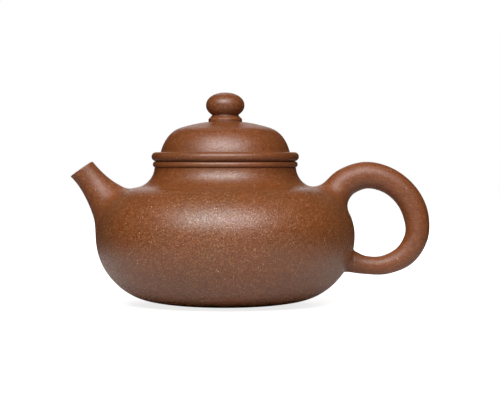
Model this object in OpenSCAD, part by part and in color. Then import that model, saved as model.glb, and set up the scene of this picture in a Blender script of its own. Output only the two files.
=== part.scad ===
// Round clay teapot with a domed lift-off lid, a short straight spout and a ring
// handle. Every piece of clay that is formed on its own is a solid of its own.
// Z is up, the spout points along -X and the handle along +X. The origin is on the
// pot's axis, in the plane of its foot. All lengths are in millimetres.

/* [Pot body] */
// Radius of the belly at its widest
belly_r = 48.7; // [47.5:0.1:50]
// Height of the widest part of the belly
belly_z = 26.0; // [25.8:0.1:27]
// Radius of the outline below the widest part
lower_belly_r = 25.0; // [24:0.1:25.2]
// Radius of the outline above the widest part
upper_belly_r = 18.3; // [17.5:0.1:18.8]
// Radius of the flat foot that the pot stands on
foot_r = 14.0; // [12:0.5:16]
// Width of the flat foot ring around the pressed-in base
foot_ring_w = 3.2; // [2:0.1:4]
// Depth of the pressed-in base
base_dish = 0.7; // [0.4:0.1:1]
// Thickness of the clay wall
wall = 2.6; // [2:0.1:3]

/* [Neck and mouth] */
// Outer radius of the neck at its narrowest
neck_r = 26.6; // [26:0.1:27]
// Radius of the hollow curve from the shoulder into the neck
throat_r = 8.0; // [7.5:0.1:8.5]
// Outer radius of the round lip at the mouth
lip_r = 27.25; // [27.1:0.05:27.5]
// Height of the bottom of the lip
lip_z = 51.5; // [51:0.1:51.6]
// Height of the lip itself
lip_h = 2.4; // [2:0.1:2.8]

/* [Lid] */
// Outer radius of the lid's round rim
rim_r = 27.7; // [27.4:0.1:28.2]
// Thickness of the lid's rim
rim_h = 3.4; // [3:0.1:3.8]
// Gap between the lid's flange and the mouth, all round
lid_gap = 0.3; // [0.25:0.05:0.5]
// How far the flange reaches down into the mouth
flange_h = 7.5; // [5:0.5:8.5]
// Thickness of the flange
flange_t = 2.2; // [1.6:0.1:2.4]
// Radius of the dome where it meets the rim
dome_r = 24.25; // [24:0.05:24.6]
// Height of the dome above the rim
dome_h = 11.75; // [11.5:0.05:12]
// Thickness of the dome
dome_t = 2.4; // [2:0.1:2.6]
// Diameter of the air hole through the knob
air_hole_d = 1.8; // [1.2:0.1:2.4]

/* [Knob] */
// Radius of the knob at its widest
knob_r = 7.2; // [6.5:0.1:7.8]
// Half the height of the knob's full oval
knob_half_h = 4.8; // [4.5:0.1:5.2]
// Radius of the waist between the knob and its collar
waist_r = 5.0; // [4.6:0.1:5.2]
// Radius of the collar's round ridge
collar_r = 6.3; // [5.9:0.05:6.4]
// Radius of the flat on the dome that the collar stands on
collar_seat_r = 6.4; // [6.4:0.1:7]
// Height of the collar
collar_h = 2.65; // [2.4:0.05:2.9]

/* [Spout] */
// Diameter of the hole at the spout's tip
spout_hole_d = 5.8; // [5:0.1:6.4]
// Half width that the spout flares out to, inside the wall
spout_root_half_w = 15.0; // [13:0.5:16]
// Number of rings of holes in the strainer, the hole in its middle counted as one
strainer_rings = 3; // [1:1:3]
// Diameter of each hole in the strainer
strainer_hole_d = 1.8; // [1.4:0.1:2]

/* [Hidden] */

// Facets of a full turn and of a small hole, and degrees to a step along an arc of an
// outline and along a round bead
round_fn = 144;
hole_fn = 36;
arc_step = 5;
bead_step = 15;

// Colours of the fired clay
clay = [0.50, 0.31, 0.20];
clay_deep = [0.45, 0.27, 0.17];
clay_pale = [0.56, 0.36, 0.24];

// ---- Plane geometry ----

// Unit vector at an angle from the outline's r axis
function ray(a) = [cos(a), sin(a)];

// Angle of a vector from the outline's r axis
function bearing(v) = atan2(v[1], v[0]);

// Points of an arc, both ends included
function arc(c, r, from, to) =
    let (n = max(1, ceil(abs(to - from) / arc_step)))
    [for (i = [0:n]) c + r * ray(from + (to - from) * i / n)];

// Meeting point of two circles, on the right of the line from the first to the second
function circles_meet(c1, r1, c2, r2) =
    let (d = norm(c2 - c1))
    let (u = (c2 - c1) / d)
    let (along = (r1 * r1 - r2 * r2 + d * d) / (2 * d))
    let (off = sqrt(r1 * r1 - along * along))
    c1 + along * u + off * [u[1], -u[0]];

// Points of a list in the opposite order
function reversed(list) = [for (i = [len(list) - 1:-1:0]) list[i]];

// Points of a half-round bead from z0 up to z1, which bulges out to radius r
function bead(r, z0, z1) =
    let (half = (z1 - z0) / 2)
    [for (a = [-90:bead_step:90]) [r - half, z0 + half] + half * ray(a)];

// ---- Outline of the pot body: four arcs that run smoothly into each other ----

// The foot arc starts flat at the foot and runs into the lower belly arc
foot_run = belly_r - foot_r;
foot_arc_r = (foot_run * foot_run + belly_z * belly_z - 2 * foot_run * lower_belly_r)
    / (2 * (belly_z - lower_belly_r));
foot_c = [foot_r, foot_arc_r];
lower_c = [belly_r - lower_belly_r, belly_z];
upper_c = [belly_r - upper_belly_r, belly_z];
throat_run = neck_r + throat_r - upper_c[0];
throat_c = [neck_r + throat_r,
    belly_z + sqrt(pow(upper_belly_r + throat_r, 2) - throat_run * throat_run)];

// Angles at which one arc hands over to the next
foot_turn = bearing(lower_c - foot_c);
shoulder_turn = bearing(throat_c - upper_c);
lip_turn = 180 + asin((throat_c[1] - lip_z) / throat_r);

// Seams between the base, the beaten wall, the shoulder disc and the neck, each
// square to the wall at an angle on its arc
base_seam = -82;
wall_seam = 72;
neck_seam = 232;

// Width of the slope from the foot ring up to the pressed-in base
dish_edge = 1.2;

mouth_r = neck_r - wall;
seat_z = lip_z + lip_h;

// Each outline function gives the surface a depth t inside the outer one
function base_line(t) = arc(foot_c, foot_arc_r - t, -90, base_seam);
function wall_line(t) = concat(
    arc(foot_c, foot_arc_r - t, base_seam, foot_turn),
    arc(lower_c, lower_belly_r - t, foot_turn, 0),
    arc(upper_c, upper_belly_r - t, 0, wall_seam));
function shoulder_line(t) = concat(
    arc(upper_c, upper_belly_r - t, wall_seam, shoulder_turn),
    arc(throat_c, throat_r + t, 180 + shoulder_turn, neck_seam));
function neck_line(t) = arc(throat_c, throat_r + t, neck_seam, lip_turn);

// ---- Outline of the lid's dome: flank, shoulder and crown arcs ----

// The flank leans inward by this angle where it stands on the rim
flank_lean = 13.5;
flank_r = 15.6;
dome_shoulder_r = 10.05;
crown_r = 55.4;
rim_top_z = seat_z + rim_h;
flank_c = [dome_r, rim_top_z] - flank_r * ray(flank_lean);
crown_c = [0, rim_top_z + dome_h - crown_r];
dome_c = circles_meet(crown_c, crown_r - dome_shoulder_r, flank_c, flank_r - dome_shoulder_r);
flank_turn = bearing(dome_c - flank_c);
crown_turn = bearing(dome_c - crown_c);

// The collar stands on a small flat at the top of the crown
collar_seat_z = crown_c[1] + sqrt(crown_r * crown_r - collar_seat_r * collar_seat_r);
crown_end = bearing([collar_seat_r, collar_seat_z] - crown_c);

// Outline a depth t inside the dome's outer one, from the top of the rim to an angle on
// the crown
function dome_line(t, end) = concat(
    arc(flank_c, flank_r - t, asin((rim_top_z - flank_c[1]) / (flank_r - t)), flank_turn),
    arc(dome_c, dome_shoulder_r - t, flank_turn, crown_turn),
    arc(crown_c, crown_r - t, crown_turn, end));

// The air hole widens where it comes through the dome
air_r = air_hole_d / 2;
air_hole_widening = 1.5;
dome_hole_r = air_hole_widening * air_r;

// The flange's lower outer edge is broken by a small slope
flange_r = mouth_r - lid_gap;
flange_inner_r = flange_r - flange_t;
flange_slope = 0.5;

// The collar stands upright on the dome, turns in over a round ridge, and slopes up to a
// hollow that ends upright at the waist
ridge_round_r = 0.5;
waist_round_r = 0.7;
collar_slope = 45;
waist_z = collar_seat_z + collar_h;
// Middles of the ridge's round and of the waist's hollow, which share one sloping tangent
hollow_c = [waist_r + waist_round_r, waist_z];
ridge_x = collar_r - ridge_round_r;
ridge_z = (hollow_c * ray(collar_slope) - waist_round_r - ridge_round_r
    - ridge_x * cos(collar_slope)) / sin(collar_slope);

// ---- Outline of the knob: a flattened ball, a little squarer than an ellipse ----

knob_power = 2.1;
knob_steps = 24;
knob_from = acos(pow(waist_r / knob_r, knob_power / 2));
knob_to = acos(pow(air_r / knob_r, knob_power / 2));
knob_c = [0, waist_z + knob_half_h * pow(sin(knob_from), 2 / knob_power)];
function knob_point(a) = knob_c
    + [knob_r * pow(cos(a), 2 / knob_power), knob_half_h * sign(a) * pow(abs(sin(a)), 2 / knob_power)];

// ---- Spout: sections between an upper and a lower outline ----

// Bezier outlines in the plane y = 0, as [x, z], from the tip to inside the body
spout_upper = [[-49.95, 53.9], [-43.8, 46.4], [-41.2, 45.7], [-34.0, 42.0]];
spout_lower = [[-58.25, 48.15], [-51.9, 42.4], [-48.0, 30.1], [-47.9, 24.0]];
spout_tip_half_w = 4.83;
spout_flare_power = 2.2;
spout_rings = 16;
spout_sides = 28;

// The channel runs straight, from the hole at the tip to a wider end in the pot. It
// starts just outside the tip, and leans from +Z towards +X
channel_start = [-54.6, 0, 51.45];
channel_lean = 138.6;
channel_h = 22;
channel_end_r = 5.8;

function bezier(p, t) =
    pow(1 - t, 3) * p[0] + 3 * pow(1 - t, 2) * t * p[1]
    + 3 * (1 - t) * t * t * p[2] + pow(t, 3) * p[3];

// ---- Strainer: a pierced half ball in a round hole of the wall ----

// How far along the channel its collar starts, and how wide the collar is
strainer_way = 19.2;
strainer_collar_h = 1.2;
strainer_r = 7.0;
strainer_t = 1.2;
strainer_ring_turn = 26;
holes_per_ring = 6;

// ---- Handle: a bent round roll that thins towards its lower end ----

// Each knot is [bearing, distance] from the handle's centre, then the roll's half
// height and half width there
handle_c = [54.9, 31.1];
handle_knots = [
    [184, 20.6, 8.0, 7.4],
    [164, 19.0, 7.3, 7.2],
    [144, 17.45, 5.98, 6.2],
    [122, 17.72, 5.32, 5.3],
    [96, 17.62, 5.06, 5.0],
    [68, 16.8, 4.85, 4.9],
    [40, 16.5, 4.75, 4.8],
    [12, 16.87, 4.78, 4.65],
    [-16, 17.85, 4.45, 4.5],
    [-44, 17.9, 4.15, 4.2],
    [-72, 17.0, 3.6, 3.7],
    [-98, 16.4, 3.45, 3.6],
    [-119, 16.85, 4.35, 4.3],
    [-134, 18.6, 5.4, 5.2],
    [-150, 20.5, 6.4, 6.0]];
handle_rings_per_knot = 4;
handle_sides = 24;

// Catmull-Rom curve through the knots, at t between the knots k[i] and k[i + 1]
function between(k, i, t) =
    0.5 * (2 * k[i] + (k[i + 1] - k[i - 1]) * t
    + (2 * k[i - 1] - 5 * k[i] + 4 * k[i + 1] - k[i + 2]) * t * t
    + (3 * k[i] - k[i - 1] - 3 * k[i + 1] + k[i + 2]) * t * t * t);

// ---- Building blocks ----

// Solid of revolution about the pot's axis, from [r, z] points
module turned(points) {
    rotate_extrude($fn = round_fn)
        polygon(points);
}

// Ring of clay between the outer outline and the one a wall's thickness inside
module turned_wall(outer, inner) {
    turned(concat(outer, reversed(inner)));
}

// Everything inside the pot body's outer surface
module body_core() {
    turned(concat([[0, 0]], base_line(0), wall_line(0), shoulder_line(0), neck_line(0),
        [[0, lip_z]]));
}

// Closed skin through rings of equally many points
module lofted(rings) {
    sides = len(rings[0]);
    last = len(rings) - 1;
    skin = [for (i = [0:last - 1], j = [0:sides - 1])
        let (k = (j + 1) % sides)
        each [[i * sides + j, i * sides + k, (i + 1) * sides + k],
            [i * sides + j, (i + 1) * sides + k, (i + 1) * sides + j]]];
    first_cap = [for (j = [sides - 1:-1:0]) j];
    last_cap = [for (j = [0:sides - 1]) last * sides + j];
    polyhedron([for (ring = rings) each ring], concat([first_cap], skin, [last_cap]));
}

// Oval ring of points about c in the plane of the unit vector v and the Y axis
function oval(c, v, half_h, half_w, sides) =
    [for (j = [0:sides - 1])
        let (a = 360 * j / sides)
        [c[0] + half_h * cos(a) * v[0], half_w * sin(a), c[1] + half_h * cos(a) * v[1]]];

// Moves to a place along the spout's channel, with +Z down the channel
module along_channel(way) {
    translate(channel_start)
        rotate([0, channel_lean, 0])
            translate([0, 0, way])
                children();
}

// ---- Pot body ----

module base_disc() {
    ring_in = foot_r - foot_ring_w;
    color(clay_deep)
        turned_wall(concat([[0, base_dish], [ring_in - dish_edge, base_dish], [ring_in, 0]],
            base_line(0)), concat([[0, wall]], base_line(wall)));
}

module belly_wall() {
    color(clay)
        difference() {
            turned_wall(wall_line(0), wall_line(wall));
            along_channel(strainer_way - strainer_r)
                cylinder(h = 2 * strainer_r, r = strainer_r, $fn = round_fn);
        }
}

module shoulder_disc() {
    color(clay_pale)
        turned_wall(shoulder_line(0), shoulder_line(wall));
}

module neck_ring() {
    color(clay)
        turned_wall(neck_line(0), neck_line(wall));
}

module lip_ring() {
    color(clay_deep)
        turned(concat([[mouth_r, lip_z]], bead(lip_r, lip_z, seat_z), [[mouth_r, seat_z]]));
}

// ---- Spout and strainer ----

module spout() {
    rings = [for (i = [0:spout_rings])
        let (t = i / spout_rings)
        let (u = bezier(spout_upper, t))
        let (l = bezier(spout_lower, t))
        let (half_h = norm(u - l) / 2)
        let (flare = pow(t, spout_flare_power))
        let (half_w = spout_tip_half_w + (spout_root_half_w - spout_tip_half_w) * flare)
        oval((u + l) / 2, (u - l) / (2 * half_h), half_h, half_w, spout_sides)];
    color(clay)
        difference() {
            lofted(rings);
            body_core();
            along_channel(0)
                cylinder(h = channel_h, r1 = spout_hole_d / 2, r2 = channel_end_r, $fn = round_fn);
        }
}

module strainer() {
    inner_r = strainer_r - strainer_t;
    color(clay_pale)
        along_channel(strainer_way)
            difference() {
                rotate_extrude($fn = round_fn)
                    polygon(concat([[inner_r, 0], [strainer_r, 0]],
                        arc([0, strainer_collar_h], strainer_r, 0, 90),
                        arc([0, strainer_collar_h], inner_r, 90, 0)));
                translate([0, 0, strainer_collar_h])
                    for (ring = [0:strainer_rings - 1])
                        let (n = max(1, ring * holes_per_ring))
                            for (i = [0:n - 1])
                                rotate([0, ring * strainer_ring_turn, 360 * i / n])
                                    cylinder(h = 2 * strainer_r, d = strainer_hole_d, $fn = hole_fn);
            }
}

// ---- Handle ----

// A knot as [x, z, half height, half width]
function handle_station(k) =
    concat(handle_c + k[1] * ray(k[0]), [k[2], k[3]]);

module handle() {
    knots = [for (k = handle_knots) handle_station(k)];
    stations = concat(
        [for (i = [1:len(knots) - 3], s = [0:handle_rings_per_knot - 1])
            between(knots, i, s / handle_rings_per_knot)],
        [knots[len(knots) - 2]]);
    last = len(stations) - 1;
    rings = [for (i = [0:last])
        let (s = stations[i])
        let (before = stations[max(0, i - 1)])
        let (after = stations[min(last, i + 1)])
        let (way = [after[0] - before[0], after[1] - before[1]])
        let (across = [way[1], -way[0]] / norm(way))
        oval([s[0], s[1]], across, s[2], s[3], handle_sides)];
    color(clay_deep)
        difference() {
            lofted(rings);
            body_core();
        }
}

// ---- Lid ----

module lid_rim() {
    color(clay_deep)
        turned(concat([[flange_inner_r, seat_z]], bead(rim_r, seat_z, rim_top_z),
            [[flange_inner_r, rim_top_z]]));
}

module lid_flange() {
    low = seat_z - flange_h;
    color(clay_pale)
        turned([[flange_inner_r, low], [flange_r - flange_slope, low],
            [flange_r, low + flange_slope], [flange_r, seat_z], [flange_inner_r, seat_z]]);
}

module lid_dome() {
    inner_end = 90 - asin(dome_hole_r / (crown_r - dome_t));
    color(clay)
        turned_wall(concat(dome_line(0, crown_end), [[dome_hole_r, collar_seat_z]]),
            dome_line(dome_t, inner_end));
}

module knob_collar() {
    color(clay_deep)
        turned(concat([[air_r, collar_seat_z], [collar_r, collar_seat_z]],
            arc([ridge_x, ridge_z], ridge_round_r, 0, collar_slope),
            arc(hollow_c, waist_round_r, collar_slope + 180, 180),
            [[air_r, waist_z]]));
}

module knob() {
    color(clay)
        turned(concat([[air_r, waist_z]],
            [for (i = [0:knob_steps])
                knob_point(-knob_from + (knob_to + knob_from) * i / knob_steps)]));
}

base_disc();
belly_wall();
shoulder_disc();
neck_ring();
lip_ring();
spout();
strainer();
handle();
lid_rim();
lid_flange();
lid_dome();
knob_collar();
knob();
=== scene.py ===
"""Finish and light of a round clay teapot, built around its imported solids.

The pot's frame has Z up, the spout along -X, the handle along +X, and its origin on the
pot's axis in the plane of the foot. The pieces' classes hold millimetres, which become
metres when a mesh is made. The studio's classes hold metres.
"""

import logging
import math
from collections.abc import Iterator
from dataclasses import dataclass, field, replace
from enum import Enum
from functools import cached_property

import bmesh
import bpy
import numpy as np
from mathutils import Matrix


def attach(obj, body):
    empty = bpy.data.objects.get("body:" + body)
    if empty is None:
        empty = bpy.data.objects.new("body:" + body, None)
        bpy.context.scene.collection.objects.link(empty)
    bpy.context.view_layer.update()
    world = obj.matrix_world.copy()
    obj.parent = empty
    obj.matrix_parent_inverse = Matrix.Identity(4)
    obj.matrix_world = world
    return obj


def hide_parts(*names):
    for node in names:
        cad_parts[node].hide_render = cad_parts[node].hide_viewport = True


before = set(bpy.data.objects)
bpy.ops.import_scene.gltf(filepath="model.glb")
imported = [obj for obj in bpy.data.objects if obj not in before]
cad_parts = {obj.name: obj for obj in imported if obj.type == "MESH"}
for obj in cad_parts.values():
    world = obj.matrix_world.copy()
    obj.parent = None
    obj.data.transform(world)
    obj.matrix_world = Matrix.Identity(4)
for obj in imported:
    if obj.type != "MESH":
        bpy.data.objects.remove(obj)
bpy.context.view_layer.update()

# A millimetre in metres, the shortest step of an outline in millimetres, and a number
# that keeps a division from failing.
MM = 0.001
HAIR = 1e-6
TINY = 1e-12
WHITE = (1.0, 1.0, 1.0, 1.0)
LOG = logging.getLogger("teapot")

Point = tuple[float, float]
Place = tuple[float, float, float]
Shown = tuple[int, int, int]
Colour = tuple[float, float, float, float]
Socket = bpy.types.NodeSocket
Tint = Socket | Colour


class Body(Enum):
    """The two rigid bodies of the pot."""

    POT = "pot"
    LID = "lid"


class Finish(Enum):
    """The finishes of the pieces."""

    BODY = "body"
    NECK = "neck"
    LIP = "lip"
    RUBBED = "rubbed"
    LID = "lid"
    INSIDE = "inside"

    @property
    def slot(self) -> str:
        """The record's material slot that the finish belongs to."""
        own = self in (Finish.LID, Finish.INSIDE)
        return "clay_" + self.value if own else "clay_body"


# ---------------------------------------------------------------------------
# Plane outlines
# ---------------------------------------------------------------------------


def ray(angle: float) -> np.ndarray:
    """Unit vector at an angle in degrees from the r axis."""
    return np.array([math.cos(math.radians(angle)), math.sin(math.radians(angle))])


def bearing(vector: np.ndarray) -> float:
    """Angle in degrees of a plane vector from the r axis."""
    return math.degrees(math.atan2(vector[1], vector[0]))


def unit(vectors: np.ndarray) -> np.ndarray:
    """Vectors along the last axis, scaled to length one."""
    length = np.linalg.norm(vectors, axis=-1, keepdims=True)
    return vectors / np.maximum(length, TINY)


def bezier(t: np.ndarray, *handles: np.ndarray) -> np.ndarray:
    """Points of a Bezier curve, or of many at once.

    Args:
        t: Shares of the way, shaped to spread over the handles.
        handles: Its control points, from the first to the last.

    Returns:
        The points.
    """
    level = list(handles)
    while len(level) > 1:
        level = [(1 - t) * a + t * b for a, b in zip(level, level[1:])]
    return level[0]


def turn_angles(sides: int) -> np.ndarray:
    """Angles of the steps around a section, in radians."""
    return np.linspace(0, 2 * math.pi, sides, endpoint=False)


@dataclass(frozen=True)
class Stretch:
    """A smooth stretch of an outline in the r-z plane.

    An outline runs with the clay on its left, so its normals point to its right.
    """

    points: np.ndarray
    normals: np.ndarray

    def trimmed(self, before: float, after: float) -> "Stretch":
        """Cuts a length off each end.

        Args:
            before: Length to take off the start.
            after: Length to take off the end.

        Returns:
            The shorter stretch.
        """
        steps = np.linalg.norm(np.diff(self.points, axis=0), axis=1)
        along = np.concatenate([[0.0], np.cumsum(steps)])
        low, high = before, along[-1] - after
        inner = along[(along > low + HAIR) & (along < high - HAIR)]
        keep = np.concatenate([[low], inner, [high]])
        points = np.stack([np.interp(keep, along, column) for column in self.points.T], 1)
        normals = np.stack([np.interp(keep, along, column) for column in self.normals.T], 1)
        return Stretch(points, unit(normals))


def arc(
    centre: np.ndarray, radius: float, start: float, end: float,
    step: float = 0.45, turn: float = 9.0, fewest: int = 4,
) -> Stretch:
    """Arc of a circle.

    Args:
        centre: Centre of the circle, as (r, z).
        radius: Radius of the circle.
        start: Angle where the arc starts, in degrees.
        end: Angle where it ends; below start, the arc runs clockwise.
        step: Longest distance between two points.
        turn: Widest angle between two points, in degrees.
        fewest: Least number of steps.

    Returns:
        The arc as a stretch.
    """
    sweep = abs(math.radians(end - start)) * radius
    count = max(fewest, math.ceil(sweep / step), math.ceil(abs(end - start) / turn))
    angles = np.radians(np.linspace(start, end, count + 1))
    rays = np.stack([np.cos(angles), np.sin(angles)], 1)
    side = 1.0 if end > start else -1.0
    return Stretch(np.asarray(centre) + radius * rays, side * rays)


def straight(start: Point, end: Point, step: float = 1.0) -> Stretch:
    """Straight stretch.

    Args:
        start: Its first point.
        end: Its last point.
        step: Longest distance between two points.

    Returns:
        The stretch.
    """
    a, b = np.asarray(start, float), np.asarray(end, float)
    way = unit(b - a)
    count = max(1, math.ceil(np.linalg.norm(b - a) / step))
    points = a + np.linspace(0, 1, count + 1)[:, None] * (b - a)
    return Stretch(points, np.tile([way[1], -way[0]], (count + 1, 1)))


def bead_ring(inner: float, outer: float, low: float, high: float, step: float = 0.2) -> list[Stretch]:
    """Section of a flat ring with a half-round outer edge.

    Args:
        inner: Radius of its hole.
        outer: Radius of its edge.
        low: Height of its underside.
        high: Height of its top.
        step: Longest distance between two points of its edge.

    Returns:
        Underside, edge, top and hole, end to end.
    """
    half = (high - low) / 2
    middle = np.array([outer - half, low + half])
    return [
        straight((inner, low), (middle[0], low)),
        arc(middle, half, -90, 90, step),
        straight((middle[0], high), (inner, high)),
        straight((inner, high), (inner, low)),
    ]


def bend(start: np.ndarray, corner: np.ndarray, end: np.ndarray, count: int = 6) -> Stretch:
    """Soft bend that leaves and arrives along the lines to a corner.

    Args:
        start: Where it leaves the first line.
        corner: Where the lines would meet.
        end: Where it joins the second line.
        count: Number of steps.

    Returns:
        The bend.
    """
    t = np.linspace(0, 1, count + 1)[:, None]
    way = unit(bezier(t, corner - start, end - corner))
    return Stretch(bezier(t, start, corner, end), np.stack([way[:, 1], -way[:, 0]], 1))


def softened(stretches: list[Stretch], softness: dict[int, float], closed: bool = True) -> list[Stretch]:
    """Rounds the corners of an outline.

    Args:
        stretches: The outline, end to end.
        softness: For the number of a stretch, the length that the bend after it takes
            from it and from the next one. Corners that aren't named stay as they are.
        closed: Whether the last stretch meets the first.

    Returns:
        The outline with its bends.
    """
    count = len(stretches)
    out: list[Stretch] = []
    for i, stretch in enumerate(stretches):
        before = softness.get((i - 1) % count, 0.0) if closed or i else 0.0
        after = softness.get(i, 0.0)
        kept = stretch.trimmed(before, after)
        out.append(kept)
        if after:
            following = stretches[(i + 1) % count].trimmed(after, 0.0)
            out.append(bend(kept.points[-1], stretch.points[-1], following.points[0]))
    return out


def circles_meet(c1: np.ndarray, r1: float, c2: np.ndarray, r2: float) -> np.ndarray:
    """Meeting point of two circles.

    Args:
        c1: Centre of the first circle.
        r1: Its radius.
        c2: Centre of the second circle.
        r2: Its radius.

    Returns:
        The point on the right of the line from the first centre to the second.
    """
    apart = float(np.linalg.norm(c2 - c1))
    way = (c2 - c1) / apart
    along = (r1 * r1 - r2 * r2 + apart * apart) / (2 * apart)
    off = math.sqrt(r1 * r1 - along * along)
    return c1 + along * way + off * np.array([way[1], -way[0]])


# ---------------------------------------------------------------------------
# Skins: closed meshes made of patches that share their edges
# ---------------------------------------------------------------------------


def put(name: str, data: bpy.types.ID) -> bpy.types.Object:
    """Adds an object to the scene.

    Args:
        name: Its name.
        data: Its mesh, lamp or camera.

    Returns:
        The new object.
    """
    thing = bpy.data.objects.new(name, data)
    bpy.context.scene.collection.objects.link(thing)
    return thing


@dataclass(frozen=True)
class HandWork:
    """The slight waviness that hand beating and smoothing leave in the whole pot.

    Args:
        height: Height of each wave.
        shrink: Share that everything shrinks by, which keeps the waves inside the solids.
        base_calm: Height over the foot below which the waves die away.
        way: Direction in which the first wave moves the clay; for the others its axes take turns.
        upright: Share of the movement that is left along Z.
        waves: For each wave, its number along X, Y and Z, and its phase.
    """

    height: float = 0.025
    shrink: float = 0.0007
    base_calm: float = 9.0
    way: Place = (1.0, 0.6, 0.5)
    upright: float = 0.6
    waves: tuple[tuple[float, float, float, float], ...] = (
        (0.21, 0.17, 0.26, 0.4),
        (-0.33, 0.24, 0.12, 1.9),
        (0.15, -0.38, 0.21, 3.1),
        (0.42, 0.31, -0.19, 4.6),
        (-0.11, 0.09, 0.48, 5.5),
    )

    def _each(self) -> Iterator[tuple[np.ndarray, float, np.ndarray]]:
        """Works out the waves.

        Yields:
            Each wave's number along the axes, its phase and its movement.
        """
        for i, (kx, ky, kz, phase) in enumerate(self.waves):
            along = unit(np.roll(np.array(self.way), i)) * np.array([1, 1, self.upright])
            yield np.array([kx, ky, kz]), phase, along

    def _calm(self, points: np.ndarray) -> np.ndarray:
        """Share of the waves at each point: none in the plane of the foot."""
        return np.clip(points[:, 2:3] / self.base_calm, 0, 1)

    def moved(self, points: np.ndarray) -> np.ndarray:
        """Waves the points.

        Args:
            points: Places in millimetres.

        Returns:
            The places after the waviness and the shrinkage.
        """
        shift = np.zeros_like(points)
        for number, phase, along in self._each():
            shift += self.height * np.sin(points @ number + phase)[:, None] * along
        return points * (1 - self.shrink) + shift * self._calm(points)

    def turned(self, points: np.ndarray, normals: np.ndarray) -> np.ndarray:
        """Turns the normals to suit the same waviness.

        Args:
            points: Places of the normals before the move, in millimetres.
            normals: Normals before the move.

        Returns:
            Unit normals of the wavy surface.
        """
        calm = self._calm(points)[:, 0]
        out = normals.copy()
        for number, phase, along in self._each():
            slope = np.cos(points @ number + phase) * calm * self.height
            out -= (slope * (normals @ along))[:, None] * number
        return unit(out)


@dataclass
class Skin:
    """The closed skin of one piece of clay, gathered patch by patch."""

    name: str
    points: list[np.ndarray] = field(default_factory=list)
    normals: list[np.ndarray] = field(default_factory=list)
    faces: list[np.ndarray] = field(default_factory=list)
    count: int = 0

    def add_grid(self, points: np.ndarray, normals: np.ndarray) -> None:
        """Adds a patch that closes on itself along its columns.

        Args:
            points: Rows by columns by 3 places, in millimetres.
            normals: The outward normals at those places.
        """
        rows, columns = points.shape[:2]
        index = self.count + np.arange(rows * columns).reshape(rows, columns)
        across = np.roll(index, -1, axis=1)
        quads = np.stack([index[:-1], across[:-1], across[1:], index[1:]], -1).reshape(-1, 4)
        flat = points.reshape(-1, 3)
        corners = flat[quads - self.count]
        facing = np.cross(corners[:, 2] - corners[:, 0], corners[:, 3] - corners[:, 1])
        wanted = normals.reshape(-1, 3)[quads - self.count].mean(1)
        if np.sum(facing * wanted) < 0:
            quads = quads[:, ::-1]
        self.points.append(flat)
        self.normals.append(normals.reshape(-1, 3))
        self.faces.append(quads)
        self.count += rows * columns

    def add_turned(self, stretches: list[Stretch], sides: int) -> None:
        """Adds an outline turned about the pot's axis.

        Args:
            stretches: The outline, end to end, with the clay on its left.
            sides: Number of steps in a full turn.
        """
        angles = turn_angles(sides)
        c, s = np.cos(angles), np.sin(angles)
        for stretch in stretches:
            r, z = stretch.points[:, :1], stretch.points[:, 1:]
            nr, nz = stretch.normals[:, :1], stretch.normals[:, 1:]
            points = np.stack([r * c, r * s, z + 0 * c], -1)
            self.add_grid(points, np.stack([nr * c, nr * s, nz + 0 * c], -1))

    def built(self, hand: HandWork) -> bpy.types.Object:
        """Makes the Blender object.

        Args:
            hand: The waviness to give the skin.

        Returns:
            The new object, in metres, with smooth normals along each patch.
        """
        points = np.concatenate(self.points)
        normals = hand.turned(points, np.concatenate(self.normals))
        faces = np.concatenate(self.faces)
        mesh = bpy.data.meshes.new(self.name)
        mesh.from_pydata((hand.moved(points) * MM).tolist(), [], faces.tolist())
        kept = mesh.attributes.new("kept_normal", "FLOAT_VECTOR", "CORNER")
        kept.data.foreach_set("vector", normals[faces.reshape(-1)].astype(np.float32).reshape(-1))
        self._weld(mesh)
        self._use_kept_normals(mesh)
        return put(self.name, mesh)

    @staticmethod
    def _weld(mesh: bpy.types.Mesh, reach: float = 2e-6) -> None:
        """Joins the patches of a mesh where their edges meet.

        Args:
            mesh: The mesh.
            reach: Longest distance between two points that become one, in metres.
        """
        work = bmesh.new()
        work.from_mesh(mesh)
        bmesh.ops.remove_doubles(work, verts=work.verts, dist=reach)
        work.to_mesh(mesh)
        work.free()

    @staticmethod
    def _use_kept_normals(mesh: bpy.types.Mesh) -> None:
        """Turns the kept_normal attribute of a mesh into its corner normals.

        Args:
            mesh: The mesh, which loses the attribute.
        """
        flat = np.zeros(len(mesh.loops) * 3, np.float32)
        mesh.attributes["kept_normal"].data.foreach_get("vector", flat)
        mesh.polygons.foreach_set("use_smooth", [True] * len(mesh.polygons))
        mesh.normals_split_custom_set(flat.reshape(-1, 3).tolist())
        mesh.attributes.remove(mesh.attributes["kept_normal"])


def turned(name: str, stretches: list[Stretch], sides: int = 240) -> Skin:
    """Skin of a piece that is one outline turned about the pot's axis.

    Args:
        name: Name of the piece.
        stretches: The outline, end to end, with the clay on its left.
        sides: Number of steps in a full turn.

    Returns:
        The skin.
    """
    skin = Skin(name)
    skin.add_turned(stretches, sides)
    return skin


def grid_normals(points: np.ndarray, outward: np.ndarray) -> np.ndarray:
    """Normals of a smooth patch that closes on itself along its columns.

    Args:
        points: Rows by columns by 3 places.
        outward: Vectors that point roughly outward at the same places.

    Returns:
        Unit normals.
    """
    down = np.gradient(points, axis=0)
    across = np.roll(points, -1, axis=1) - np.roll(points, 1, axis=1)
    normals = unit(np.cross(down, across))
    side = np.sign(np.sum(normals * outward, axis=-1, keepdims=True))
    return normals * np.where(side == 0, 1, side)


# ---------------------------------------------------------------------------
# Workshop: where skins become dressed pieces
# ---------------------------------------------------------------------------


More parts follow.
